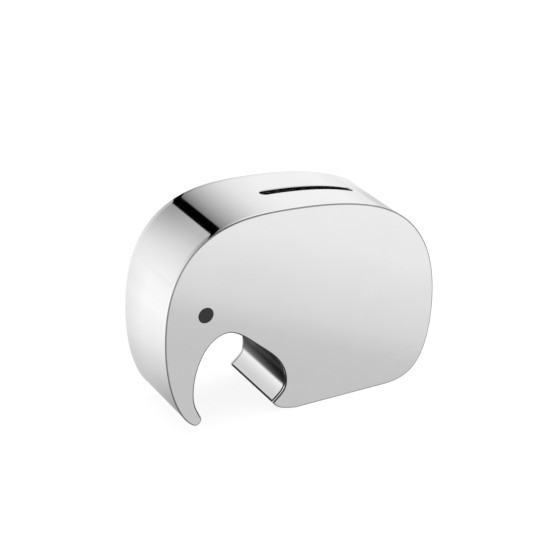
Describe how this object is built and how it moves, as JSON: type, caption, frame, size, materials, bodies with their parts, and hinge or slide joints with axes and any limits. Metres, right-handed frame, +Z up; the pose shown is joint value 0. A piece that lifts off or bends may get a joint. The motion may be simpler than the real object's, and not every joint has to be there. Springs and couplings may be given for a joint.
{
  "type": "figural animal coin bank",
  "caption": "Elephant-shaped money box in mirror-polished sheet steel, with a coin slot in its back, black eyes and a quarter-turn plug in its base.",
  "frame": {"origin": "middle of the object's length and depth, on the surface it stands on", "axes": "+X towards the rump along the longest extent, head towards -X; +Y towards the right side plate across the shortest extent; +Z up"},
  "size_m": [0.1529, 0.048, 0.1118],
  "materials": {
    "polished_steel": "mirror-polished stainless steel",
    "bare_steel": "plain machined or cut stainless steel, satin",
    "black_enamel": "smooth black, satin gloss",
    "black_plastic": "fine-textured moulded black plastic",
    "seal_rubber": "soft matte black rubber"
  },
  "bodies": {
    "bank": {"outer_band": "polished_steel", "arch_band": "polished_steel", "left_side_plate": "polished_steel", "right_side_plate": "polished_steel", "left_eye": "black_enamel", "right_eye": "black_enamel", "left_locating_tabs": "bare_steel", "right_locating_tabs": "bare_steel", "hatch_collar": "bare_steel"},
    "plug": {"plug_body": "black_plastic", "plug_seal": "seal_rubber"},
    "turn_knob": {"turn_knob": "black_plastic", "latch_bar": "bare_steel", "latch_washer": "bare_steel", "latch_screw": "bare_steel"}
  },
  "joints": [
    {"name": "plug_pull", "type": "slide", "parent": "bank", "child": "plug", "axis": [0, 0, -1], "range_m": [0, 0.03]},
    {"name": "knob_turn", "type": "hinge", "parent": "plug", "child": "turn_knob", "pos_m": [0.0245, 0, 0.0066], "axis": [0, 0, 1], "range_deg": [0, 90]}
  ]
}
